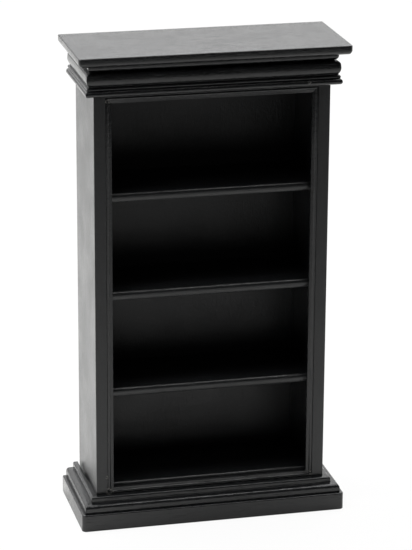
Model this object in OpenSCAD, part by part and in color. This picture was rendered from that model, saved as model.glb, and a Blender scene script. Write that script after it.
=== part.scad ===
// Miniature bookcase, 1:12 scale, wood painted black.
// An open case of three shelves stands on a base board, wears a mitred
// moulding round its foot and another below its top board, and its front
// opening is lined with a mitred bead. Every joint is glued.
// +Z is up, the front faces -Y, and the origin is at the middle of the
// underside of the whole piece.

/* [Overall] */
// Overall height
overall_h = 175; // [140:1:220]
// Width of the case over its side panels
case_w = 85; // [50:1:130]
// Depth of the case from its front edges to its back face
case_d = 33; // [20:0.5:60]

/* [Panels] */
// Thickness of the side panels, whose front edges show as flat uprights
side_t = 4.2; // [3:0.1:7]
// Thickness of the shelves, the floor and the inner top
shelf_t = 3.3; // [3:0.1:5]
// Radius on the upper front edge of a shelf
shelf_nose_r = 1.4; // [0.2:0.1:1.5]
// Height of the flat below that edge
shelf_flat_h = 0.2; // [0.1:0.1:1]
// Angle of the long curve that runs from the flat to the underside
shelf_belly_a = 45; // [20:1:80]
// Thickness of the back panel
back_t = 2; // [1:0.1:4]
// Thickness of the hidden front rails at top and bottom
rail_t = 4; // [3:0.1:7]

/* [Joints] */
// Depth of the grooves that house the shelves in the side panels
housing_d = 1; // [0.4:0.1:1.5]
// Depth of the rebate that holds the back panel, across the side panel
rebate_w = 2; // [1:0.1:2.6]
// Clearance between a panel and the groove or rebate round it
joint_gap = 0.1; // [0.05:0.05:0.3]

/* [Bead round the opening] */
// Width of the bead, from the side panel into the opening
bead_w = 2.2; // [1.8:0.1:4]
// Depth of the bead, which is also how far the shelves stand back
bead_d = 2; // [1.2:0.1:2.8]
// Radius of the round part of the bead
bead_r = 0.65; // [0.4:0.05:0.85]
// How far the flat inner step of the bead lies behind its round part
bead_step = 0.4; // [0.1:0.05:0.4]
// Depth of the quirk between the bead and the side panel
bead_quirk_d = 0.3; // [0.05:0.05:0.4]
// Height of the rail that is left between the upper bead and the crown
bead_reveal_h = 0.8; // [0.2:0.1:3]

/* [Top board] */
// Thickness of the top board
top_t = 3.4; // [2.6:0.1:5]
// Overhang of the top board past the case, at the front and the sides
top_overhang = 6.2; // [4:0.1:10]
// Radius on the upper edge of the top board
top_upper_r = 0.4; // [0.1:0.1:0.6]
// Radius on the lower edge of the top board
top_lower_r = 1.8; // [0.1:0.1:2]
// Radius of the front corners of the top board, seen from above
top_corner_r = 1.2; // [0.2:0.1:3]

/* [Crown moulding] */
// Height of the lip under the lowest bead
crown_lip_h = 0.1; // [0.1:0.1:1]
// Radius of the lowest bead
crown_bead_r = 1.1; // [0.6:0.1:1.4]
// How far the middle of the lowest bead stands off the case
crown_bead_p = 2.35; // [1.6:0.05:3]
// Radius of the small bead above it
crown_astragal_r = 0.6; // [0.4:0.1:0.8]
// How far the middle of the small bead stands off the case
crown_astragal_p = 2.25; // [1.6:0.05:3]
// Height of the neck over the small bead
crown_neck_h = 0.35; // [0.3:0.05:2]
// Thickness of the neck
crown_neck_p = 2.1; // [1:0.1:2.1]
// Radius of the long curve that swells out of the neck
crown_bell_r = 3.8; // [2:0.1:5]
// Angle of that curve
crown_bell_a = 38; // [20:1:40]
// How far the fullest part of the moulding stands off the case
crown_crest_p = 2.95; // [2.9:0.05:4]
// Height of the nearly flat face above the fullest part
crown_face_h = 1.1; // [0.5:0.1:4]
// How far that face leans back over its height
crown_face_lean = 0.1; // [0:0.05:0.5]
// Radius of the round over that face
crown_torus_r = 1.1; // [0.6:0.1:1.3]
// Height of the quirk between the round and the fillet
crown_quirk_h = 0.3; // [0.2:0.1:1]
// Height of the fillet under the top board
crown_fillet_h = 2.6; // [1.8:0.1:5]
// Thickness of the fillet
crown_fillet_p = 2.2; // [1.8:0.1:2.6]
// Radius on the lower edge of the fillet
crown_fillet_r = 1.7; // [0.4:0.1:1.8]

/* [Base] */
// Thickness of the base board
base_t = 6.4; // [4:0.1:12]
// How far the base board stands out past the case
base_projection = 6.5; // [6:0.1:10]
// Radius on the upper edge of the base board
base_edge_r = 0.5; // [0.1:0.1:1]
// Radius of the front corners of the base board, seen from above
base_corner_r = 1.6; // [0.2:0.1:3]
// Width of the ledge left between the base moulding and the board's edge
base_ledge = 1.3; // [1:0.1:2.6]
// Height of the square foot of the base moulding
base_foot_h = 1.6; // [0.2:0.1:3]
// Radius of the round on the lower step of the base moulding
base_round_r = 1.4; // [0.6:0.1:2.2]
// Width of the flat shoulder between the two steps
base_shoulder_w = 1.4; // [0.4:0.1:2.2]
// Height of the upper step of the base moulding
base_step_h = 2.1; // [1:0.1:4]
// Radius of the round on the upper step
base_step_r = 0.8; // [0.1:0.1:1.8]

/* [Hidden] */

paint = [0.11, 0.11, 0.12];
arc_steps = 8;
bay_count = 4;

// Depths: the deeper of the two boards sets the front of the whole piece
reach = max(top_overhang, base_projection);
front_y = (reach - case_d) / 2;
back_y = front_y + case_d;
shelf_front_y = front_y + bead_d;
back_front_y = back_y - back_t;
inner_w = case_w - 2 * side_t;

// Heights, from the floor up
base_moulding_h = base_foot_h + base_round_r + base_step_h;
crown_bell_z = crown_lip_h + 2 * crown_bead_r + 2 * crown_astragal_r + crown_neck_h;
crown_crest_z = crown_bell_z + crown_bell_r * sin(crown_bell_a);
crown_torus_z = crown_crest_z + crown_face_h;
crown_fillet_z = crown_torus_z + crown_torus_r + crown_quirk_h;
crown_h = crown_fillet_z + crown_fillet_h;
case_z0 = base_t;
case_z1 = overall_h - top_t;
frame_z0 = case_z0 + base_moulding_h;
crown_z = case_z1 - crown_h;
frame_z1 = crown_z - bead_reveal_h;
ceiling_z = frame_z1 - bead_w;
bay_pitch = (ceiling_z - frame_z0) / bay_count;
panel_z = [for (i = [0:bay_count]) frame_z0 + i * bay_pitch];

// Points of an arc about c, from angle a0 to angle a1
function arc(c, r, a0, a1) =
    [for (i = [0:arc_steps]) let (a = a0 + (a1 - a0) * i / arc_steps) c + r * [cos(a), sin(a)]];

// Section of the crown: distance off the case, height above its lower edge
function crown_section() =
    let (
        bead_z = crown_lip_h + crown_bead_r,
        astragal_z = bead_z + crown_bead_r + crown_astragal_r,
        neck_z = astragal_z + crown_astragal_r,
        torus_p = crown_crest_p - crown_face_lean - crown_torus_r,
        fillet_r = crown_fillet_r
    )
    concat(
        [[0, 0]],
        arc([crown_bead_p, bead_z], crown_bead_r, -110, 70),
        arc([crown_astragal_p, astragal_z], crown_astragal_r, -70, 70),
        [[crown_neck_p, neck_z], [crown_neck_p, crown_bell_z]],
        arc([crown_crest_p - crown_bell_r, crown_crest_z], crown_bell_r, -crown_bell_a, 0),
        arc([torus_p, crown_torus_z], crown_torus_r, 4, 90),
        arc([crown_fillet_p - fillet_r, crown_fillet_z + fillet_r], fillet_r, -80, 0),
        [[crown_fillet_p, crown_h], [0, crown_h]]
    );

// Section of the base moulding: distance off the case, height above the board
function base_section() =
    let (
        foot_p = base_projection - base_ledge,
        round_p = foot_p - base_round_r,
        step_p = round_p - base_shoulder_w
    )
    concat(
        [[0, 0], [foot_p, 0]],
        arc([round_p, base_foot_h], base_round_r, 0, 90),
        [[step_p, base_foot_h + base_round_r]],
        arc([step_p - base_step_r, base_moulding_h - base_step_r], base_step_r, 0, 90),
        [[0, base_moulding_h]]
    );

// Section of the bead: distance into the opening, distance behind the front
function bead_section() =
    let (
        leave = asin((bead_r - bead_quirk_d) / bead_r),
        meet = asin((bead_r - bead_step) / bead_r)
    )
    concat(
        [[0, bead_d]],
        arc([bead_r * cos(leave), bead_r], bead_r, 180 + leave, 360 - meet),
        [[bead_w, bead_step], [bead_w, bead_d]]
    );

// Lays a section drawn as [distance forward of y = 0, height] along X
module run_along_x(length) {
    translate([-length / 2, 0, 0]) rotate([90, 0, 90]) mirror([1, 0, 0])
        linear_extrude(length) children();
}

// Lays a section drawn as [x, height] along Y, from y0 back to y1
module run_along_y(y0, y1) {
    translate([0, y1, 0]) rotate([90, 0, 0]) linear_extrude(y1 - y0) children();
}

// Front length of a moulding that is mitred at both corners of the case
module front_moulding(section, z, height) {
    translate([0, front_y, z]) intersection() {
        run_along_x(case_w + 4 * reach) polygon(section);
        linear_extrude(height) polygon([
            [case_w / 2, 0], [-case_w / 2, 0],
            [-case_w / 2 - reach, -reach], [case_w / 2 + reach, -reach],
        ]);
    }
}

// Side length of a moulding, on the right of the case, mitred at the front
module side_moulding(section, z, height) {
    translate([case_w / 2, 0, z]) intersection() {
        run_along_y(front_y - 2 * reach, back_y) polygon(section);
        linear_extrude(height) polygon([
            [0, front_y], [reach, front_y - reach], [reach, back_y], [0, back_y],
        ]);
    }
}

// Board with its front corners rounded in plan, and its front and side
// edges rounded above by upper_r and below by lower_r
module edged_board(overhang, t, upper_r, lower_r, corner_r) {
    half_w = case_w / 2 + overhang;
    y0 = front_y - overhang;
    intersection() {
        linear_extrude(t) polygon(concat(
            [[half_w, back_y], [-half_w, back_y]],
            arc([-half_w + corner_r, y0 + corner_r], corner_r, 180, 270),
            arc([half_w - corner_r, y0 + corner_r], corner_r, 270, 360)
        ));
        run_along_x(2 * half_w + 2) polygon(concat(
            [[-back_y - 1, 0]],
            arc([-y0 - lower_r, lower_r], lower_r, 270, 360),
            arc([-y0 - upper_r, t - upper_r], upper_r, 0, 90),
            [[-back_y - 1, t]]
        ));
        run_along_y(y0 - 1, back_y + 1) polygon(concat(
            arc([half_w - lower_r, lower_r], lower_r, 270, 360),
            arc([half_w - upper_r, t - upper_r], upper_r, 0, 90),
            arc([-half_w + upper_r, t - upper_r], upper_r, 90, 180),
            arc([-half_w + lower_r, lower_r], lower_r, 180, 270)
        ));
    }
}

// Right side panel: grooves house the panels, a rebate holds the back
module side_panel() {
    inner_x = inner_w / 2;
    difference() {
        translate([inner_x, front_y, case_z0]) cube([side_t, case_d, case_z1 - case_z0]);
        for (z = panel_z)
            translate([inner_x - 1, shelf_front_y - joint_gap, z])
                cube([housing_d + 1, case_d, shelf_t + joint_gap]);
        translate([inner_x - 1, back_front_y, case_z0 - 1])
            cube([rebate_w + 1, back_t + 1, case_z1 - case_z0 + 2]);
    }
}

// Lower front edge of a shelf: a long curve from the underside up to the flat
function shelf_belly() =
    let (belly_z = shelf_t - shelf_nose_r - shelf_flat_h, belly_r = belly_z / sin(shelf_belly_a))
    arc([-shelf_front_y - belly_r, belly_z], belly_r, -shelf_belly_a, 0);

// Panel housed in both sides, standing on the lower cheek of its grooves
module housed_panel(z, lower_front) {
    w = inner_w + 2 * (housing_d - joint_gap);
    translate([0, 0, z]) run_along_x(w) polygon(concat(
        [[-back_front_y, shelf_t], [-back_front_y, 0]],
        lower_front,
        arc([-shelf_front_y - shelf_nose_r, shelf_t - shelf_nose_r], shelf_nose_r, 0, 90)
    ));
}

// Length of bead along X, its section facing up into the opening
module bead_length(length) {
    intersection() {
        rotate([90, 0, 90]) translate([0, 0, -length / 2]) linear_extrude(length)
            polygon([for (p = bead_section()) [p[1], p[0]]]);
        rotate([90, 0, 0]) translate([0, 0, -bead_d]) linear_extrude(bead_d) polygon([
            [-length / 2, 0], [length / 2, 0],
            [length / 2 - bead_w, bead_w], [-length / 2 + bead_w, bead_w],
        ]);
    }
}

module base_board() {
    color(paint) edged_board(base_projection, base_t, base_edge_r, base_edge_r / 2, base_corner_r);
}

module base_moulding_front() {
    color(paint) front_moulding(base_section(), case_z0, base_moulding_h);
}

module base_moulding_right() {
    color(paint) side_moulding(base_section(), case_z0, base_moulding_h);
}

module base_moulding_left() {
    mirror([1, 0, 0]) base_moulding_right();
}

module right_side() {
    color(paint) side_panel();
}

module left_side() {
    mirror([1, 0, 0]) right_side();
}

module back_panel() {
    w = inner_w + 2 * (rebate_w - joint_gap);
    color(paint) translate([-w / 2, back_front_y, case_z0]) cube([w, back_t, case_z1 - case_z0]);
}

// Square below its rounded edge, where it meets the back of the lower bead
module floor_panel() {
    color(paint) housed_panel(panel_z[0], [[-shelf_front_y, 0]]);
}

module shelf_lower() {
    color(paint) housed_panel(panel_z[1], shelf_belly());
}

module shelf_middle() {
    color(paint) housed_panel(panel_z[2], shelf_belly());
}

module shelf_upper() {
    color(paint) housed_panel(panel_z[3], shelf_belly());
}

// Its front edge is square and meets the back of the top rail
module inner_top() {
    w = inner_w + 2 * (housing_d - joint_gap);
    y0 = front_y + rail_t;
    color(paint) translate([-w / 2, y0, ceiling_z]) cube([w, back_front_y - y0, shelf_t]);
}

// The lower bead and, behind it, the floor stand on its upper edge
module bottom_rail() {
    color(paint) translate([-inner_w / 2, front_y, case_z0])
        cube([inner_w, rail_t, frame_z0 - case_z0]);
}

// Rebated along its lower edge, where the upper bead sits
module top_rail() {
    color(paint) difference() {
        translate([-inner_w / 2, front_y, ceiling_z]) cube([inner_w, rail_t, case_z1 - ceiling_z]);
        translate([-inner_w / 2 - 1, front_y - 1, ceiling_z - 1])
            cube([inner_w + 2, bead_d + 1, bead_w + 1]);
    }
}

module bead_bottom() {
    color(paint) translate([0, front_y, frame_z0]) bead_length(inner_w);
}

module bead_top() {
    color(paint) translate([0, front_y, frame_z1]) mirror([0, 0, 1]) bead_length(inner_w);
}

module bead_left() {
    color(paint) translate([-inner_w / 2, front_y, (frame_z0 + frame_z1) / 2])
        rotate([0, 90, 0]) bead_length(frame_z1 - frame_z0);
}

module bead_right() {
    mirror([1, 0, 0]) bead_left();
}

module crown_front() {
    color(paint) front_moulding(crown_section(), crown_z, crown_h);
}

module crown_right() {
    color(paint) side_moulding(crown_section(), crown_z, crown_h);
}

module crown_left() {
    mirror([1, 0, 0]) crown_right();
}

module top_board() {
    color(paint) translate([0, 0, case_z1])
        edged_board(top_overhang, top_t, top_upper_r, top_lower_r, top_corner_r);
}

base_board();
base_moulding_front();
base_moulding_left();
base_moulding_right();
left_side();
right_side();
back_panel();
floor_panel();
inner_top();
shelf_lower();
shelf_middle();
shelf_upper();
bottom_rail();
top_rail();
bead_left();
bead_right();
bead_top();
bead_bottom();
crown_front();
crown_left();
crown_right();
top_board();
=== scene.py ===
"""Looks of the miniature bookcase: satin black paint over fine wood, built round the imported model.

Every visible piece is a closed surface worked out with numpy. A section is softened as a film of
paint softens an edge, and is then carried along the piece, with rounded rims or mitres at its ends.
Lengths are metres, and MM turns a size given in millimetres into metres.
"""

import logging
import math
from collections.abc import Callable, Sequence
from dataclasses import dataclass
from enum import Enum

import bmesh
import bpy
import numpy as np
from mathutils import Matrix, Vector


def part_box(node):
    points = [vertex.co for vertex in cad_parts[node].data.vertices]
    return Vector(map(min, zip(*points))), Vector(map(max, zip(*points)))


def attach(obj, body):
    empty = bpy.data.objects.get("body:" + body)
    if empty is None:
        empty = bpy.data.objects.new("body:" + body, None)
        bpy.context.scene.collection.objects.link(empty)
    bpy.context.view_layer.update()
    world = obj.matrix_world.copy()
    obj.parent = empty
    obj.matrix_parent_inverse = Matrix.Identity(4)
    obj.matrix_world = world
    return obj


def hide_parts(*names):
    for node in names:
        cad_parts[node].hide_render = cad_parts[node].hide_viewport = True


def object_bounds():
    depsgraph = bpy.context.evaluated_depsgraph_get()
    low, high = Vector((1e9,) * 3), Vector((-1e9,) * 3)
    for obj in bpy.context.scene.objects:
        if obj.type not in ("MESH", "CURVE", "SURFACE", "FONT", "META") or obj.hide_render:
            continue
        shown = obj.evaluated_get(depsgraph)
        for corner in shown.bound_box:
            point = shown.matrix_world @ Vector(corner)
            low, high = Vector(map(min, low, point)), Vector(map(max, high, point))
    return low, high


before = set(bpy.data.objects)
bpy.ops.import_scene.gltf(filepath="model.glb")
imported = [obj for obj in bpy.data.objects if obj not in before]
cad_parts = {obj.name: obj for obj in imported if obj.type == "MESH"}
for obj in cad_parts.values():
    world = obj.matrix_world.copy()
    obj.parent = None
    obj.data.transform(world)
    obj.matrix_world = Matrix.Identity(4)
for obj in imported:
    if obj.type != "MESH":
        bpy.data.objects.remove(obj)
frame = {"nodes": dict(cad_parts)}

LOG = logging.getLogger("bookcase")
CAD_LOW, CAD_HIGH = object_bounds()
BODY = "root"

MM = 0.001
TURN_STEP = math.radians(11)  # the most that a softened outline turns from point to point
FLAT_STEP = 4 * MM  # the longest stretch of an outline without a point
WALK_STEPS = 4  # even steps to one reach of the film, where an outline is softened
RIM_STEPS = 5  # rings round the rim at each end of a piece
RIM_SUPPORT = 2.0  # how far the ring inside an end's flat is drawn in, in rim radii
RIM_SHARPNESS = 0.8  # sharpness half way round a rim
END_SHARPNESS = 0.2  # sharpness on an end's flat
MERGE = 0.001 * MM  # points nearer than this are one point
SHARP = math.radians(40)  # edges that turn by more stay sharp

Array = np.ndarray
Place = Callable[[Array, Array, Array], Array]


class Grain(Enum):
    """The axis that a piece's wood grain and brush strokes run along."""

    ALONG_X = 0
    ALONG_Y = 1
    ALONG_Z = 2


# ---------------------------------------------------------------- outlines and surfaces


def arc(centre: Sequence[float], radius: float, start: float, end: float, steps: int = 14) -> Array:
    """Points of a round stretch: centre + radius * (cos a, sin a), with a from start to end.

    Args:
        centre: Middle of the arc, in the section's own plane.
        radius: Radius of the arc.
        start: First angle, in degrees.
        end: Last angle, in degrees.
        steps: Number of equal steps.

    Returns:
        The points, as steps + 1 rows of two.
    """
    a = np.radians(np.linspace(start, end, steps + 1))
    return np.asarray(centre) + radius * np.stack([np.cos(a), np.sin(a)], -1)


def soften(corners: Array, film: float) -> tuple[Array, Array]:
    """Rounds a closed outline the way that a film of paint does.

    The outline is walked in even steps, and each point becomes the mean of its neighbours, weighted
    by exp(-(s / film)^2 / 2) at the distance s along the outline. It is then walked again with a
    step that is short where the outline turns and long where it is straight.

    Args:
        corners: The outline's points, as rows of two, counter-clockwise.
        film: How far the softening reaches.

    Returns:
        The softened points, and how sharply each one turns: near 1 on an outside edge, near -1 in
        an inside corner and 0 on a flat.
    """
    closed = np.vstack([corners, corners[:1]])
    walked = np.concatenate([[0.0], np.cumsum(np.hypot(*np.diff(closed, axis=0).T))])
    total = walked[-1]
    count = int(total / (film / WALK_STEPS))
    s = np.arange(count) * total / count
    even = np.stack([np.interp(s, walked, closed[:, k]) for k in (0, 1)], -1)
    reach = np.minimum(s, total - s)
    weight = np.exp(-((reach / film) ** 2) / 2)
    smooth = np.fft.ifft(np.fft.fft(even, axis=0) * np.fft.fft(weight / weight.sum())[:, None], axis=0).real
    ahead = np.roll(smooth, -1, 0) - smooth
    heading = np.unwrap(np.arctan2(ahead[:, 1], ahead[:, 0]))
    turn = np.diff(np.append(heading, heading[0] + 2 * np.pi))
    need = np.abs(turn) / TURN_STEP + total / count / FLAT_STEP
    need = np.concatenate([[0.0], np.cumsum(need)])
    index = np.arange(count + 1)
    kept = math.ceil(need[-1])
    picked = np.interp(np.arange(kept) / kept * need[-1], need, index)
    wrap = [np.append(smooth[:, k], smooth[0, k]) for k in (0, 1)]
    points = np.stack([np.interp(picked, index, w) for w in wrap], -1)
    bend = turn / (total / count) * film
    return points, np.clip(np.interp(picked, index, np.append(bend, bend[0])), -1, 1)


def outward(points: Array) -> Array:
    """Unit normals of a closed counter-clockwise outline: its direction turned right by 90 degrees."""
    along = np.roll(points, -1, 0) - np.roll(points, 1, 0)
    along /= np.linalg.norm(along, axis=1, keepdims=True)
    return np.stack([along[:, 1], -along[:, 0]], -1)


@dataclass(frozen=True)
class End:
    """One end of a carried section.

    Attributes:
        at: Place of the end along the piece.
        slant: How far the end moves along the piece per unit of the section's first coordinate,
            which is 1 or -1 on a mitre.
        rim: Radius of the rounded rim.
    """

    at: float
    slant: float = 0.0
    rim: float = 0.15 * MM


def carry(
    points: Array, bend: Array, first: End, last: End, place: Place, stops: int = 6
) -> tuple[Array, Array]:
    """Carries a section along a piece.

    Ring k is the section drawn in by d(k) along its normals, at the distance t(k) from the end. On
    a rim of radius r both follow a quarter circle: d = r (1 - sin a) and t = r (1 - cos a). One
    more ring inside the end's flat keeps the shading of that flat even.

    Args:
        points: The section, as rows of two.
        bend: How sharply the section turns at each point.
        first: The end with the lower place.
        last: The end with the higher place.
        place: Turns the section's two coordinates and the distance along into x, y and z.
        stops: Number of plain rings between the rims.

    Returns:
        The rings, as an array of ring by point by axis, and the sharpness at each point.
    """
    a = np.radians(np.linspace(0, 90, RIM_STEPS))
    draw_in = np.concatenate([[RIM_SUPPORT], 1 - np.sin(a)])
    step_in = np.concatenate([[0.0], 1 - np.cos(a)])
    exposed = np.concatenate([[END_SHARPNESS], np.sin(2 * a) * RIM_SHARPNESS])
    inner = np.linspace(0, 1, stops + 2)[1:-1]
    inset = np.concatenate([draw_in * first.rim, np.zeros(stops), draw_in[::-1] * last.rim])
    normal = outward(points)
    drawn = points[None] - inset[:, None, None] * normal[None]
    p = points[None, :, 0]
    start, finish = first.at + first.slant * p, last.at + last.slant * p
    low = start + (step_in * first.rim)[:, None]
    high = finish - (step_in[::-1] * last.rim)[:, None]
    middle = low[-1:] + inner[:, None] * (high[:1] - low[-1:])
    t = np.vstack([low, middle, high])
    rim = np.concatenate([exposed, np.zeros(stops), exposed[::-1]])
    edge = np.maximum(bend[None], rim[:, None])
    return place(drawn[..., 0], drawn[..., 1], t), np.broadcast_to(edge, t.shape)


def slab(width: tuple[float, float], depth: tuple[float, float], film: float) -> tuple[Array, Array]:
    """Softened outline of a plain rectangular section.

    Args:
        width: Lowest and highest value of the first coordinate.
        depth: Lowest and highest value of the second coordinate.
        film: How far the softening reaches.

    Returns:
        The points and how sharply each one turns.
    """
    (x0, x1), (y0, y1) = width, depth
    return soften(np.array([[x0, y0], [x1, y0], [x1, y1], [x0, y1]]), film)


def mesh_of(name: str, rings: Array, edge: Array) -> bpy.types.Object:
    """Makes a closed piece of a grid of rings: quads between rings, and a face over each end.

    Args:
        name: Name of the piece.
        rings: Points, as ring by point by axis.
        edge: Sharpness at each point, kept as the attribute that the paint's wear reads.

    Returns:
        The new object, at the origin.
    """
    stations, points = rings.shape[:2]
    i, j = np.meshgrid(np.arange(stations - 1), np.arange(points), indexing="ij")
    k = (j + 1) % points
    quads = np.stack([i * points + j, i * points + k, (i + 1) * points + k, (i + 1) * points + j], -1)
    caps = [list(range(points))[::-1], list(range((stations - 1) * points, stations * points))]
    mesh = bpy.data.meshes.new(name)
    mesh.from_pydata(rings.reshape(-1, 3).tolist(), [], quads.reshape(-1, 4).tolist() + caps)
    sharpness = mesh.attributes.new("edge", "FLOAT", "POINT")
    sharpness.data.foreach_set("value", edge.reshape(-1).astype(np.float32))
    shape = bmesh.new()
    shape.from_mesh(mesh)
    bmesh.ops.remove_doubles(shape, verts=shape.verts, dist=MERGE)
    bmesh.ops.recalc_face_normals(shape, faces=shape.faces)
    shape.to_mesh(mesh)
    shape.free()
    mesh.shade_smooth()
    mesh.set_sharp_from_angle(angle=SHARP)
    piece = bpy.data.objects.new(name, mesh)
    bpy.context.scene.collection.objects.link(piece)
    return piece


# ---------------------------------------------------------------- shader maths and finishes


class Number:
    """A shader value: arithmetic on it adds Math nodes to its graph."""

    def __init__(self, graph: "Graph", socket: bpy.types.NodeSocket) -> None:
        """Wraps an output socket of a graph."""
        self.graph, self.socket = graph, socket

    def math(self, operation: str, *others: "Number | float") -> "Number":
        """Adds one Math node with this value as its first input."""
        return self.graph.node("ShaderNodeMath", {"operation": operation}, dict(enumerate((self, *others))))

    def __add__(self, other: "Number | float") -> "Number":
        """Sum."""
        return self.math("ADD", other)

    def __sub__(self, other: "Number | float") -> "Number":
        """Difference."""
        return self.math("SUBTRACT", other)

    def __rsub__(self, other: float) -> "Number":
        """A plain number less this value."""
        return self.graph.node("ShaderNodeMath", {"operation": "SUBTRACT"}, {0: other, 1: self})

    def __mul__(self, other: "Number | float") -> "Number":
        """Product."""
        return self.math("MULTIPLY", other)

    __radd__, __rmul__ = __add__, __mul__

    def between(self, low: float, high: float) -> "Number":
        """Smooth step of this value: s^2 (3 - 2 s), with s = (value - low) / (high - low) kept in 0 to 1.

        Args:
            low: Value up to which the step is 0.
            high: Value from which the step is 1.

        Returns:
            The step.
        """
        return self.graph.node(
            "ShaderNodeMapRange",
            {"interpolation_type": "SMOOTHSTEP"},
            {"Value": self, "From Min": low, "From Max": high},
        )


@dataclass(frozen=True)
class Texture:
    """One noise in the film of paint.

    Attributes:
        scale: Its blotches are about 1 / scale metres across.
        detail: Number of its finer layers.
        rough: Strength of each finer layer against the one before.
        relief: How far it stands up from the film, or cuts into it, in depths of the grain.
    """

    scale: float
    detail: float
    rough: float
    relief: float = 0.0


class Graph:
    """The node tree of one material or world."""

    def __init__(self, tree: bpy.types.NodeTree) -> None:
        """Empties the tree."""
        self.tree = tree
        tree.nodes.clear()

    def node(
        self, kind: str, settings: dict | None = None, inputs: dict | None = None, output: int | str = 0
    ) -> Number:
        """Adds one node.

        Args:
            kind: The node's type.
            settings: Properties set before anything is linked.
            inputs: Value, or wrapped socket, for each input name or number.
            output: The output that is wrapped.

        Returns:
            The wrapped output.
        """
        made = self.tree.nodes.new(kind)
        for key, value in (settings or {}).items():
            setattr(made, key, value)
        for key, value in (inputs or {}).items():
            if isinstance(value, Number):
                self.tree.links.new(value.socket, made.inputs[key])
            else:
                made.inputs[key].default_value = value
        return Number(self, made.outputs[output] if made.outputs else None)

    def mix(self, amount: Number, low: Sequence[float] | Number, high: Sequence[float] | Number) -> Number:
        """Mixes two colours.

        Args:
            amount: Share of the second colour.
            low: The first colour.
            high: The second colour.

        Returns:
            The mixed colour.
        """
        first, second, mixed = 6, 7, 2  # the node's colour sockets, which share their names with others
        return self.node(
            "ShaderNodeMix", {"data_type": "RGBA"}, {"Factor": amount, first: low, second: high}, mixed
        )

    def noise(self, place: Number, texture: Texture) -> Number:
        """Adds one noise of the paint.

        Args:
            place: Where the noise is read.
            texture: Its scale and detail.

        Returns:
            The noise, from 0 to 1.
        """
        return self.node(
            "ShaderNodeTexNoise",
            {},
            {
                "Vector": place,
                "Scale": texture.scale,
                "Detail": texture.detail,
                "Roughness": texture.rough,
            },
        )


PORES = Texture(2600, 3, 0.6, 0.5)
STROKES = Texture(1100, 4, 0.55, 0.3)
STIPPLE = Texture(1700, 3, 0.6, 1.2)
MOTTLE = Texture(800, 2, 0.5, 1.6)
CLOUD = Texture(70, 3, 0.5)
FLECKS = Texture(1500, 2, 0.6, 1.5)
GRAIN_STRETCH = 0.05  # scale of the pores and strokes along the grain, against that across it


@dataclass(frozen=True)
class Chip:
    """A place where the paint is knocked off.

    Attributes:
        centre: Middle of the damage.
        radius: How far it reaches.
        cover: How readily the paint came off there, from 0 to 1.
    """

    centre: tuple[float, float, float]
    radius: float
    cover: float = 0.5


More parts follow.
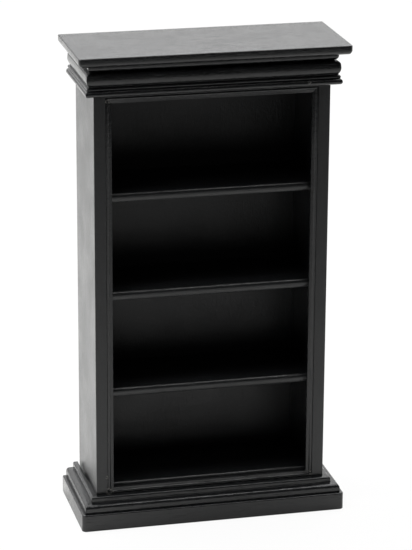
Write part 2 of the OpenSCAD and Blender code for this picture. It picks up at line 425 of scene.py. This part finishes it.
@dataclass(frozen=True)
class SatinPaint:
    """Satin black paint, brushed over fine wood.

    Attributes:
        slot: Material slot of the record.
        tint: Linear colour of the paint.
        gloss: Roughness of the film where it is smoothest.
        grain_depth: How deep the grain shows through the film.
        chips: Places where the paint is knocked off.
        cloudiness: Least and most of the tint, as the film's thickness wanders.
        dust: Linear colour of the dust on the stipple.
        dustiness: Most of the dust that shows.
        dust_hold: Noise of the stipple at which dust begins to hold, and at which it holds most.
        bare: Linear colour of the wood where the paint is gone.
        cloud_dullness: Roughness that the cloud adds at most.
        cloud_turn: Noise of the cloud at which that begins, and at which it is all added.
        stroke_dullness: Roughness that the brush strokes add at most.
        bare_dullness: Roughness that bare wood adds.
        pore_open: Noise at which a pore begins to open, and at which it is open.
        worn_edge: Sharpness at which an edge begins to wear, and at which it wears most.
        worn_flecks: Noise at which the paint of a worn edge thins, and at which it is gone.
        chipped_flecks: The same in a chip that covers nothing.
        chip_spread: How far a chip's whole cover lowers that noise.
        chip_core: Share of a chip's radius within which it is at its fullest.
        refraction: The film's index of refraction.
    """

    slot: str
    tint: tuple[float, float, float] = (0.0082, 0.0088, 0.0096)
    gloss: float = 0.15
    grain_depth: float = 0.05 * MM
    chips: tuple[Chip, ...] = ()
    cloudiness: tuple[float, float] = (0.8, 1.3)
    dust: tuple[float, float, float] = (0.05, 0.05, 0.05)
    dustiness: float = 0.25
    dust_hold: tuple[float, float] = (0.5, 0.9)
    bare: tuple[float, float, float] = (0.17, 0.165, 0.155)
    cloud_dullness: float = 0.06
    cloud_turn: tuple[float, float] = (0.3, 0.7)
    stroke_dullness: float = 0.05
    bare_dullness: float = 0.25
    pore_open: tuple[float, float] = (0.56, 0.70)
    worn_edge: tuple[float, float] = (0.25, 0.9)
    worn_flecks: tuple[float, float] = (0.66, 0.72)
    chipped_flecks: tuple[float, float] = (0.62, 0.66)
    chip_spread: float = 0.2
    chip_core: float = 0.5
    refraction: float = 1.5

    def wear(self, g: Graph, place: Number) -> Number:
        """Share of bare wood: flecks kept where the surface turns sharply outwards, and more in a chip.

        Args:
            g: The material's graph.
            place: Object coordinates.

        Returns:
            The share, from 0 to 1.
        """
        edge = g.node("ShaderNodeAttribute", {"attribute_name": "edge"}, output="Fac")
        flecks = g.noise(place, FLECKS)
        wear = edge.between(*self.worn_edge) * flecks.between(*self.worn_flecks)
        for chip in self.chips:
            apart = g.node(
                "ShaderNodeVectorMath", {"operation": "DISTANCE"}, {0: place, 1: chip.centre}, "Value"
            )
            near = 1 - apart.between(chip.radius * self.chip_core, chip.radius)
            limits = [limit - self.chip_spread * chip.cover for limit in self.chipped_flecks]
            wear = wear.math("MAXIMUM", near * flecks.between(*limits))
        return wear

    def material(self, grain: Grain) -> bpy.types.Material:
        """Makes the paint for pieces whose grain runs along one axis.

        The film's height is the sum of brush strokes, stipple and a coarser mottle, less the pores
        and the wear. Pores and strokes are noise drawn out along the grain. The colour is the tint
        under dust, and bare wood where it is worn.

        Args:
            grain: The axis of the grain.

        Returns:
            The material.
        """
        made = bpy.data.materials.new(f"{self.slot}_{grain.name.lower()}")
        made.use_nodes = True
        g = Graph(made.node_tree)
        place = g.node("ShaderNodeTexCoord", output="Object")
        stretch = [1.0, 1.0, 1.0]
        stretch[grain.value] = GRAIN_STRETCH
        drawn = g.node("ShaderNodeMapping", {}, {"Vector": place, "Scale": stretch})
        pores = g.noise(drawn, PORES).between(*self.pore_open)
        strokes = g.noise(drawn, STROKES)
        stipple = g.noise(place, STIPPLE)
        mottle = g.noise(place, MOTTLE)
        cloud = g.noise(place, CLOUD)
        wear = self.wear(g, place)
        thin, thick = ((*(part * share for part in self.tint), 1) for share in self.cloudiness)
        paint = g.mix(cloud, thin, thick)
        dusty = g.mix(stipple.between(*self.dust_hold) * self.dustiness, paint, (*self.dust, 1))
        colour = g.mix(wear, dusty, (*self.bare, 1))
        rough = self.gloss + cloud.between(*self.cloud_turn) * self.cloud_dullness
        rough = rough + strokes * self.stroke_dullness + wear * self.bare_dullness
        raised = strokes * STROKES.relief + stipple * STIPPLE.relief + mottle * MOTTLE.relief
        height = raised - pores * PORES.relief - wear * FLECKS.relief
        normal = g.node(
            "ShaderNodeBump", {}, {"Strength": 1.0, "Distance": self.grain_depth, "Height": height}
        )
        shader = g.node(
            "ShaderNodeBsdfPrincipled",
            {},
            {"Base Color": colour, "Roughness": rough, "Normal": normal, "IOR": self.refraction},
        )
        g.node("ShaderNodeOutputMaterial", {}, {"Surface": shader})
        return made


class Paintshop:
    """Dresses pieces, making each paint once for each direction of grain."""

    def __init__(self) -> None:
        """Starts with no paint made."""
        self.made: dict[tuple[SatinPaint, Grain], bpy.types.Material] = {}

    def dress(self, node: str, rings: Array, edge: Array, paint: SatinPaint, grain: Grain) -> None:
        """Makes and paints a piece, lets it stand for its CAD node and makes it ride on the body.

        Args:
            node: The CAD node that it stands for.
            rings: Its points, as ring by point by axis.
            edge: Sharpness at each point.
            paint: Its paint.
            grain: The axis of its grain.
        """
        piece = mesh_of(f"{node}_painted", rings, edge)
        key = (paint, grain)
        if key not in self.made:
            self.made[key] = paint.material(grain)
        piece.data.materials.append(self.made[key])
        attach(piece, BODY)
        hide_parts(node)
        LOG.info("%s: %d faces, stands for %s", piece.name, len(piece.data.polygons), node)


# ---------------------------------------------------------------- the bookcase


@dataclass(frozen=True)
class CaseLines:
    """The planes that the pieces share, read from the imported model.

    Attributes:
        half: Half the case's width.
        inside: Half the width between the side panels.
        front: Plane of the case's front edges.
        back: Plane of the case's back.
        low: Underside of the side panels.
        high: Top of the side panels.
    """

    half: float
    inside: float
    front: float
    back: float
    low: float
    high: float

    @classmethod
    def read(cls) -> "CaseLines":
        """Reads the lines from the box of the right side panel."""
        low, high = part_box("right_side")
        return cls(high.x, low.x, low.y, high.y, low.z, high.z)


def along_x(p: Array, h: Array, t: Array) -> Array:
    """Place of a section of depth and height that is carried along x."""
    return np.stack(np.broadcast_arrays(t, p, h), -1)


def along_z(p: Array, q: Array, t: Array) -> Array:
    """Place of a plan outline that is carried upwards."""
    return np.stack(np.broadcast_arrays(p, q, t), -1)


@dataclass
class Carcass:
    """Side panels, back, shelves and the hidden rails.

    Attributes:
        lines: The case's shared planes.
        shop: The paint shop.
        paint: Paint of the outer panels and the shelves.
        inside: Paint of the back panel and the inner top, laid on less evenly.
        film: How far the paint softens an edge.
        nose: Radius on the upper front edge of a shelf.
        flat: Height of the flat below that edge.
        belly_angle: Angle of the long curve from the flat to the underside, in degrees.
        housing: Depth of the grooves that house the shelves.
        slack: Room between a panel and its groove.
        shelves: Nodes of the floor and the shelves, from the bottom up.
    """

    lines: CaseLines
    shop: Paintshop
    paint: SatinPaint
    inside: SatinPaint
    film: float = 0.14 * MM
    nose: float = 1.4 * MM
    flat: float = 0.2 * MM
    belly_angle: float = 45.0
    housing: float = 1.0 * MM
    slack: float = 0.1 * MM
    shelves: tuple[str, ...] = ("floor_panel", "shelf_lower", "shelf_middle", "shelf_upper")

    def side(self, node: str, hand: int) -> None:
        """Builds a side panel: a plan outline carried upwards, stepped where a groove starts or ends.

        Args:
            node: The CAD node.
            hand: 1 on the right, -1 on the left.
        """
        c = self.lines
        back_low, back_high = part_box("back_panel")
        rebate_x = back_high.x + self.slack
        plan = np.array([
            [c.inside, c.front], [c.half, c.front], [c.half, c.back], [rebate_x, c.back],
            [rebate_x, back_low.y], [c.inside, back_low.y],
        ])
        points, bend = soften(plan, self.film)
        grooves = [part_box(name) for name in (*self.shelves, "inner_top")]
        stop_y = grooves[0][0].y - self.slack
        # a pair of points on the inner face, where the grooves stop behind the bead
        step = np.array([[c.inside, stop_y + MERGE * 2], [c.inside, stop_y - MERGE * 2]])
        inner = np.flatnonzero((points[:, 0] < c.inside + self.film) & (points[:, 1] > stop_y))
        points = np.insert(points, inner[-1] + 1, step, axis=0)
        bend = np.insert(bend, inner[-1] + 1, [0.0, 0.0])
        rings, edge = carry(points, bend, End(c.low), End(c.high), along_z, stops=0)
        grooved = (points[:, 0] < c.inside + self.film) & (points[:, 1] > stop_y)
        plain = points[None, :, 0]
        cut = plain + self.housing * grooved
        levels = []
        for low, high in grooves:
            ceiling = high.z + self.slack
            levels += [(plain, low.z), (cut, low.z), (cut, ceiling), (plain, ceiling)]
        middle = np.concatenate([along_z(x, points[None, :, 1], z) for x, z in levels])
        half = len(rings) // 2
        rings = np.concatenate([rings[:half], middle, rings[half:]])
        edge = np.concatenate([edge[:half], np.broadcast_to(bend, middle.shape[:2]), edge[half:]])
        rings[..., 0] *= hand
        self.shop.dress(node, rings, edge, self.paint, Grain.ALONG_Z)

    def shelf(self, node: str) -> None:
        """Builds a shelf, its front edge rounded above and swept back below, or the floor, square below.

        Args:
            node: The CAD node.
        """
        low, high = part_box(node)
        nose_z = high.z - self.nose
        belly_z = nose_z - self.flat
        belly = (belly_z - low.z) / math.sin(math.radians(self.belly_angle))
        swept = arc((low.y + belly, belly_z), belly, 180, 180 + self.belly_angle)
        section = np.vstack([
            [[high.y, high.z]],
            arc((low.y + self.nose, nose_z), self.nose, 90, 180),
            [[low.y, low.z]] if node == "floor_panel" else swept,
            [[high.y, low.z]],
        ])
        points, bend = soften(section, self.film)
        rings, edge = carry(points, bend, End(low.x), End(high.x), along_x)
        self.shop.dress(node, rings, edge, self.paint, Grain.ALONG_X)

    def panel(self, node: str, paint: SatinPaint, grain: Grain) -> None:
        """Builds a plain board with softened edges that fills its node's box.

        Args:
            node: The CAD node.
            paint: Its paint.
            grain: The axis that its grain runs along.
        """
        low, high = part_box(node)
        points, bend = slab((low.y, high.y), (low.z, high.z), self.film)
        rings, edge = carry(points, bend, End(low.x), End(high.x), along_x)
        self.shop.dress(node, rings, edge, paint, grain)

    def top_rail(self) -> None:
        """Builds the upper front rail, with a rebate along its lower edge where the bead sits."""
        low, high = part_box("top_rail")
        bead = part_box("bead_top")[1]
        section = np.array([
            [low.y, high.z], [low.y, bead.z], [bead.y, bead.z],
            [bead.y, low.z], [high.y, low.z], [high.y, high.z],
        ])
        points, bend = soften(section, self.film / 2)
        rings, edge = carry(points, bend, End(low.x), End(high.x), along_x)
        self.shop.dress("top_rail", rings, edge, self.paint, Grain.ALONG_X)

    def build(self) -> None:
        """Builds every panel."""
        self.side("left_side", -1)
        self.side("right_side", 1)
        for node in self.shelves:
            self.shelf(node)
        self.panel("inner_top", self.inside, Grain.ALONG_X)
        self.panel("back_panel", self.inside, Grain.ALONG_Z)
        self.panel("bottom_rail", self.paint, Grain.ALONG_X)
        self.top_rail()


@dataclass
class Moulding:
    """A moulding in three lengths, mitred at the case's two front corners.

    Attributes:
        lines: The case's shared planes.
        shop: The paint shop.
        paint: Its paint.
        name: First part of its nodes' names.
        section: Distance off the case and height above the moulding's lower edge.
        film: How far the paint softens an edge.
        mitre_rim: Radius of the rim round a mitre.
        gap: How far the left length's inner face stands off the side panel at the back.
        gap_from: Share of the depth, from the front, where that gap starts.
        gap_to: Share of the depth from which the gap has its whole width.
        gap_reach: Distance off the case at which the length is straight again.
        side_stops: Number of plain rings along a side length.
    """

    lines: CaseLines
    shop: Paintshop
    paint: SatinPaint
    name: str
    section: Array
    film: float = 0.07 * MM
    mitre_rim: float = 0.07 * MM
    gap: float = 0.0
    gap_from: float = 0.25
    gap_to: float = 0.6
    gap_reach: float = 3 * MM
    side_stops: int = 14

    def build(self) -> None:
        """Builds the front length and the two side lengths."""
        c = self.lines
        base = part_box(f"{self.name}_front")[0].z
        points, bend = soften(self.section, self.film)

        def ahead(p: Array, h: Array, t: Array) -> Array:
            """The front length stands off towards -y."""
            return np.stack(np.broadcast_arrays(t, c.front - p, base + h), -1)

        left, right = End(-c.half, -1, self.mitre_rim), End(c.half, 1, self.mitre_rim)
        rings, edge = carry(points, bend, left, right, ahead)
        self.shop.dress(f"{self.name}_front", rings, edge, self.paint, Grain.ALONG_X)
        for side, hand, gap in (("left", -1, self.gap), ("right", 1, 0.0)):

            def beside(p: Array, h: Array, t: Array) -> Array:
                """A side length stands off along x, and its inner face by the gap more.

                The gap is a smooth step along the depth, and fades as 1 - p / gap_reach.

                Args:
                    p: Distance off the case.
                    h: Height above the moulding's lower edge.
                    t: Distance along the case's depth.

                Returns:
                    The points' x, y and z.
                """
                depth = (t - c.front) / (c.back - c.front)
                share = np.clip((depth - self.gap_from) / (self.gap_to - self.gap_from), 0, 1)
                inner = 1 - np.clip(p / self.gap_reach, 0, 1)
                off = p + gap * inner * share * share * (3 - 2 * share)
                return np.stack(np.broadcast_arrays(hand * (c.half + off), t, base + h), -1)

            mitre, butt = End(c.front, -1, self.mitre_rim), End(c.back)
            rings, edge = carry(points, bend, mitre, butt, beside, self.side_stops)
            self.shop.dress(f"{self.name}_{side}", rings, edge, self.paint, Grain.ALONG_Y)


@dataclass(frozen=True)
class CrownSection:
    """Sizes of the crown's section, from the bottom up.

    A bead and a small bead lie under a neck. A long curve swells out of the neck to the crest,
    over which a nearly flat face ends in a round. A quirk parts it from the fillet, which is
    rounded below. A name in _r is a radius, one in _p a distance off the case, one in _span the
    first and last angle of a round in degrees, and lean is how far the face leans back. The other
    lengths are heights.
    """

    lip: float = 0.1 * MM
    bead_r: float = 1.1 * MM
    bead_p: float = 2.35 * MM
    bead_span: tuple[float, float] = (-110, 70)
    astragal_r: float = 0.6 * MM
    astragal_p: float = 2.25 * MM
    astragal_span: tuple[float, float] = (-70, 70)
    neck: float = 0.35 * MM
    neck_p: float = 2.1 * MM
    bell_r: float = 3.8 * MM
    bell_angle: float = 38.0
    crest_p: float = 2.95 * MM
    face: float = 1.1 * MM
    lean: float = 0.1 * MM
    torus_r: float = 1.1 * MM
    torus_span: tuple[float, float] = (4, 90)
    quirk: float = 0.3 * MM
    fillet: float = 2.6 * MM
    fillet_p: float = 2.2 * MM
    fillet_r: float = 1.7 * MM
    fillet_span: tuple[float, float] = (-80, 0)

    def points(self) -> Array:
        """Outline of the section, as distance off the case and height above its lower edge."""
        bead = self.lip + self.bead_r
        astragal = bead + self.bead_r + self.astragal_r
        neck = astragal + self.astragal_r
        bell = neck + self.neck
        crest = bell + self.bell_r * math.sin(math.radians(self.bell_angle))
        torus = crest + self.face
        fillet = torus + self.torus_r + self.quirk
        top = fillet + self.fillet
        return np.vstack([
            [[0, 0]],
            arc((self.bead_p, bead), self.bead_r, *self.bead_span),
            arc((self.astragal_p, astragal), self.astragal_r, *self.astragal_span),
            [[self.neck_p, neck], [self.neck_p, bell]],
            arc((self.crest_p - self.bell_r, crest), self.bell_r, -self.bell_angle, 0),
            arc((self.crest_p - self.lean - self.torus_r, torus), self.torus_r, *self.torus_span),
            arc((self.fillet_p - self.fillet_r, fillet + self.fillet_r), self.fillet_r, *self.fillet_span),
            [[self.fillet_p, top], [0, top]],
        ])


@dataclass(frozen=True)
class FootSection:
    """Sizes of the base moulding's section: two square steps, each with a rounded top edge.

    foot_p is the lower step's distance off the case, and shoulder is the width of its tread behind
    the round. A name in _r is a radius, and the other lengths are heights.
    """

    foot_p: float = 5.2 * MM
    foot: float = 1.6 * MM
    round_r: float = 1.4 * MM
    shoulder: float = 1.4 * MM
    step: float = 2.1 * MM
    step_r: float = 0.8 * MM

    def points(self) -> Array:
        """Outline of the section, as distance off the case and height above the base board."""
        round_p = self.foot_p - self.round_r
        step_p = round_p - self.shoulder
        top = self.foot + self.round_r + self.step
        return np.vstack([
            [[0, 0], [self.foot_p, 0]],
            arc((round_p, self.foot), self.round_r, 0, 90),
            [[step_p, self.foot + self.round_r]],
            arc((step_p - self.step_r, top - self.step_r), self.step_r, 0, 90),
            [[0, top]],
        ])


@dataclass
class BeadFrame:
    """The bead round the opening: four mitred lengths, a round and a flat step in section.

    Attributes:
        lines: The case's shared planes.
        shop: The paint shop.
        paint: Its paint.
        round_r: Radius of the round part.
        step: How far the flat step lies behind the round.
        quirk: Depth of the quirk beside the side panel.
        film: How far the paint softens an edge.
        mitre_rim: Radius of the rim round a mitre.
    """

    lines: CaseLines
    shop: Paintshop
    paint: SatinPaint
    round_r: float = 0.65 * MM
    step: float = 0.4 * MM
    quirk: float = 0.3 * MM
    film: float = 0.05 * MM
    mitre_rim: float = 0.05 * MM

    def section(self, width: float, depth: float) -> Array:
        """Outline of the bead, as distance into the opening and distance behind the front.

        Args:
            width: Width of the bead, into the opening.
            depth: Depth of the bead, behind the front.

        Returns:
            The outline's points, as rows of two.
        """
        r = self.round_r
        leave, meet = (math.asin((r - drop) / r) for drop in (self.quirk, self.step))
        return np.vstack([
            [[0, depth]],
            arc((r * math.cos(leave), r), r, 180 + math.degrees(leave), 360 - math.degrees(meet)),
            [[width, self.step], [width, depth]],
        ])

    def build(self) -> None:
        """Builds the two uprights and the two level lengths."""
        c = self.lines
        low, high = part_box("bead_left")
        width, depth = high.x - low.x, high.y - low.y
        points, bend = soften(self.section(width, depth), self.film)
        rim = self.mitre_rim
        for side, hand in (("left", -1), ("right", 1)):

            def upright(u: Array, v: Array, t: Array) -> Array:
                """An upright grows into the opening from the inner face of its side panel."""
                return np.stack(np.broadcast_arrays(hand * (c.inside - u), c.front + v, t), -1)

            rings, edge = carry(points, bend, End(low.z, 1, rim), End(high.z, -1, rim), upright)
            self.shop.dress(f"bead_{side}", rings, edge, self.paint, Grain.ALONG_Z)
        for side, base, up in (("bottom", low.z, 1), ("top", high.z, -1)):

            def level(u: Array, v: Array, t: Array) -> Array:
                """A level length grows into the opening from the end of the uprights."""
                return np.stack(np.broadcast_arrays(t, c.front + v, base + up * u), -1)

            rings, edge = carry(points, bend, End(-c.inside, 1, rim), End(c.inside, -1, rim), level)
            self.shop.dress(f"bead_{side}", rings, edge, self.paint, Grain.ALONG_X)


@dataclass
class EdgedBoard:
    """A board whose front and side edges are rounded, and whose front corners are round in plan.

    Attributes:
        node: The CAD node.
        shop: The paint shop.
        paint: Its paint.
        upper_r: Radius on its upper edge.
        lower_r: Radius on its lower edge.
        corner_r: Radius of its front corners in plan.
        back_r: Radius on its back edges and back corners.
        least_front_r: Least that a front corner's radius in plan shrinks to.
        least_back_r: Least that a back corner's radius in plan shrinks to.
        front_steps: Steps round a front corner in plan.
        back_steps: Steps round a back corner in plan.
        edge_rings: Rings round one edge.
        support: How far inside an edge the rings of the flat above or below it lie.
        worn_r: An edge of this radius or less wears most.
    """

    node: str
    shop: Paintshop
    paint: SatinPaint
    upper_r: float
    lower_r: float
    corner_r: float
    back_r: float = 0.2 * MM
    least_front_r: float = 0.05 * MM
    least_back_r: float = 0.02 * MM
    front_steps: int = 10
    back_steps: int = 5
    edge_rings: int = 9
    support: float = 0.5 * MM
    worn_r: float = 0.15 * MM

    def ring(self, inset: float, back_inset: float, height: float) -> Array:
        """Plan outline of the board at one height.

        A corner's radius shrinks by the inset, down to a fine round.

        Args:
            inset: How far the front and the sides are drawn in.
            back_inset: How far the back is drawn in.
            height: Level of the ring.

        Returns:
            The ring's points, counter-clockwise from above.
        """
        low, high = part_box(self.node)
        x0, x1, y0, y1 = low.x + inset, high.x - inset, low.y + inset, high.y - back_inset
        front = max(self.corner_r - inset, self.least_front_r)
        back = max(self.back_r - back_inset, self.least_back_r)
        plan = np.vstack([
            arc((x0 + front, y0 + front), front, 180, 270, self.front_steps),
            arc((x1 - front, y0 + front), front, 270, 360, self.front_steps),
            arc((x1 - back, y1 - back), back, 0, 90, self.back_steps),
            arc((x0 + back, y1 - back), back, 90, 180, self.back_steps),
        ])
        return np.column_stack([plan, np.full(len(plan), height)])

    def build(self) -> None:
        """Builds the board from rings that follow the section of its edge from below to above.

        Round an edge of radius r, the ring at the angle a is drawn in by r (1 - sin a) and lies
        r (1 - cos a) from the flat.
        """
        low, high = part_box(self.node)
        lower, upper, back = self.lower_r, self.upper_r, self.back_r
        a = np.radians(np.linspace(0, 90, self.edge_rings))
        turns = [(1 - math.sin(angle), 1 - math.cos(angle)) for angle in a]
        steps = [(lower + self.support, back + self.support, low.z)]
        steps += [(lower * inward, back * inward, low.z + lower * off) for inward, off in turns]
        steps += [(upper * inward, back * inward, high.z - upper * off) for inward, off in turns[::-1]]
        steps += [(upper + self.support, back + self.support, high.z)]
        rings = np.stack([self.ring(*step) for step in steps])
        sharp = np.repeat(np.clip([self.worn_r / lower, self.worn_r / upper], 0, 1), len(a))
        crest = np.concatenate([[0], np.tile(np.sin(2 * a), 2) * sharp, [0]])
        edge = np.broadcast_to(crest[:, None], rings.shape[:2])
        self.shop.dress(self.node, rings, edge, self.paint, Grain.ALONG_X)


# ---------------------------------------------------------------- studio


@dataclass(frozen=True)
class Softbox:
    """A level panel of light that faces down.

    Attributes:
        name: What the panel is called.
        centre: Middle of the panel.
        size: Its width and depth.
        light: Its radiance.
    """

    name: str
    centre: tuple[float, float, float]
    size: tuple[float, float]
    light: float

    def hang(self) -> None:
        """Hangs the panel: a radiance L over the area A takes the power L * pi * A."""
        lamp = bpy.data.lights.new(self.name, "AREA")
        lamp.shape = "RECTANGLE"
        lamp.size, lamp.size_y = self.size
        lamp.energy = self.light * math.pi * self.size[0] * self.size[1]
        panel = bpy.data.objects.new(self.name, lamp)
        panel.location = self.centre
        bpy.context.scene.collection.objects.link(panel)


@dataclass
class Studio:
    """White floor, softboxes over and behind the bookcase, and the camera.

    Attributes:
        boxes: The softboxes, which all face down.
        surround: Radiance of the room away from the softboxes.
        backdrop: Radiance of the room as the camera sees it.
        table_front: Where the white table ends in front of the bookcase.
        table_back: Where it ends behind the bookcase.
        table_half: Half its width.
        table_cells: Number of its faces each way.
        table_white: Linear colour of the table.
        table_glow: Share of an even white in the table as the camera sees it.
        azimuth: The camera's direction, 0 being square on to the front.
        elevation: The camera's height over the horizon.
        roll: The camera's turn about its own axis.
        distance: From the camera to the point that it looks at.
        aim: Offset of that point from the middle of the bookcase, to the right and up in the view.
        lens: Focal length, in millimetres.
        frame: Height of the camera's frame, in millimetres.
        shift: The lens's shift, as a share of the frame's height.
        clip: Nearest and farthest that the camera sees.
    """

    boxes: tuple[Softbox, ...] = (
        Softbox("overhead", (0.0, 0.21, 0.40), (3.4, 0.58), 2.35),
        Softbox("behind", (0.0, 1.71, 0.40), (3.4, 2.42), 1.35),
        Softbox("near_left", (-0.16, -0.02, 0.30), (0.12, 0.16), 7.0),
        Softbox("high_front", (0.22, -0.19, 1.0), (0.36, 0.22), 4.5),
    )
    surround: float = 0.04
    backdrop: float = 0.95
    table_front: float = -0.80
    table_back: float = 5.0
    table_half: float = 3.0
    table_cells: int = 24
    table_white: tuple[float, float, float] = (0.88, 0.88, 0.87)
    table_glow: float = 0.93
    azimuth: float = -13.25
    elevation: float = 18.4
    roll: float = 0.21
    distance: float = 0.9504
    aim: tuple[float, float] = (-0.0051, -0.0010)
    lens: float = 172.05
    frame: float = 36.0
    shift: tuple[float, float] = (0.0305, 0.0079)
    clip: tuple[float, float] = (0.01, 50.0)

    def floor(self) -> None:
        """Lays a white table, as a grid of level faces.

        The camera sees it evenly lit, while the bookcase sees it as the softboxes light it.
        """
        cells, row = self.table_cells, self.table_cells + 1
        across = np.linspace(-self.table_half, self.table_half, row)
        away = np.linspace(self.table_front, self.table_back, row)
        x, y = np.meshgrid(across, away, indexing="ij")
        points = np.stack([x, y, np.zeros_like(x)], -1).reshape(-1, 3)
        i, j = np.meshgrid(np.arange(cells), np.arange(cells), indexing="ij")
        corner = i * row + j
        quads = np.stack([corner, corner + row, corner + row + 1, corner + 1], -1).reshape(-1, 4)
        mesh = bpy.data.meshes.new("studio_floor")
        mesh.from_pydata(points.tolist(), [], quads.tolist())
        made = bpy.data.materials.new("studio_white")
        made.use_nodes = True
        g = Graph(made.node_tree)
        matt = g.node("ShaderNodeBsdfDiffuse", {}, {"Color": (*self.table_white, 1)})
        glow = g.node("ShaderNodeEmission", {}, {"Color": (1, 1, 1, 1), "Strength": 1.0})
        seen = g.node("ShaderNodeLightPath", output="Is Camera Ray")
        both = g.node("ShaderNodeMixShader", {}, {0: seen * self.table_glow, 1: matt, 2: glow})
        g.node("ShaderNodeOutputMaterial", {}, {"Surface": both})
        mesh.materials.append(made)
        floor = bpy.data.objects.new("studio_floor", mesh)
        bpy.context.scene.collection.objects.link(floor)

    def lights(self) -> None:
        """Hangs the softboxes and sets the room's own faint light."""
        for box in self.boxes:
            box.hang()
        world = bpy.data.worlds.new("studio_room")
        world.use_nodes = True
        bpy.context.scene.world = world
        g = Graph(world.node_tree)
        seen = g.node("ShaderNodeLightPath", output="Is Camera Ray")
        strength = seen * (self.backdrop - self.surround) + self.surround
        room = g.node("ShaderNodeBackground", {}, {"Color": (1, 1, 1, 1), "Strength": strength})
        g.node("ShaderNodeOutputWorld", {}, {"Surface": room})

    def camera(self) -> None:
        """Sets the camera at the elevation and azimuth that the bookcase is looked at from."""
        a, e = math.radians(self.azimuth), math.radians(self.elevation)
        back = Vector((math.sin(a) * math.cos(e), -math.cos(a) * math.cos(e), math.sin(e)))
        level = back.to_track_quat("Z", "Y").to_matrix().to_4x4()
        turned = level @ Matrix.Rotation(math.radians(self.roll), 4, "Z")
        right, up = turned.col[0].to_3d(), turned.col[1].to_3d()
        target = (CAD_LOW + CAD_HIGH) / 2 + right * self.aim[0] + up * self.aim[1]
        lens = bpy.data.cameras.new("view")
        lens.sensor_width, lens.lens = self.frame, self.lens
        lens.shift_x, lens.shift_y = self.shift
        lens.clip_start, lens.clip_end = self.clip
        eye = bpy.data.objects.new("view", lens)
        eye.matrix_world = Matrix.Translation(target + back * self.distance) @ turned
        bpy.context.scene.collection.objects.link(eye)
        bpy.context.scene.camera = eye

    def build(self) -> None:
        """Sets up the floor, the light and the camera."""
        self.floor()
        self.lights()
        self.camera()
        bpy.context.scene.view_settings.view_transform = "Standard"


def knocks(lines: CaseLines) -> tuple[Chip, ...]:
    """The knocks that the paint has had.

    Args:
        lines: The case's shared planes.

    Returns:
        The chips at the left bead's foot, beside it a little higher and at its head, at the right
        bead's foot, and on the crown near its right corner.
    """
    foot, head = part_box("bead_left")
    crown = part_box("crown_front")[0]
    return (
        Chip((foot.x + 0.7 * MM, foot.y, foot.z + 1.0 * MM), radius=1.9 * MM, cover=0.5),
        Chip((foot.x - 0.4 * MM, foot.y, foot.z + 6.5 * MM), radius=0.8 * MM, cover=0.6),
        Chip((foot.x + 0.8 * MM, foot.y, head.z - 1.6 * MM), radius=1.5 * MM, cover=0.3),
        Chip((-foot.x - 0.8 * MM, foot.y, foot.z + 1.2 * MM), radius=1.5 * MM, cover=0.3),
        Chip((0.8 * lines.half, crown.y + 0.2 * MM, crown.z + 1.3 * MM), radius=0.9 * MM, cover=0.5),
    )


def main() -> None:
    """Builds the bookcase's looks."""
    logging.basicConfig(level=logging.INFO, format="%(name)s: %(message)s")
    lines = CaseLines.read()
    shop = Paintshop()
    Studio().build()
    chips = knocks(lines)
    panel = SatinPaint("painted_panel", gloss=0.26, chips=chips)
    inside = SatinPaint("painted_panel", gloss=0.42)
    moulding = SatinPaint("painted_moulding", chips=chips)
    board = SatinPaint("painted_board")
    Carcass(lines, shop, panel, inside).build()
    BeadFrame(lines, shop, moulding).build()
    Moulding(lines, shop, moulding, "crown", CrownSection().points()).build()
    Moulding(lines, shop, moulding, "base_moulding", FootSection().points(), gap=0.7 * MM).build()
    EdgedBoard("top_board", shop, board, upper_r=0.4 * MM, lower_r=1.8 * MM, corner_r=1.2 * MM).build()
    EdgedBoard("base_board", shop, board, upper_r=0.5 * MM, lower_r=0.25 * MM, corner_r=1.6 * MM).build()


if __name__ == "__main__":
    main()
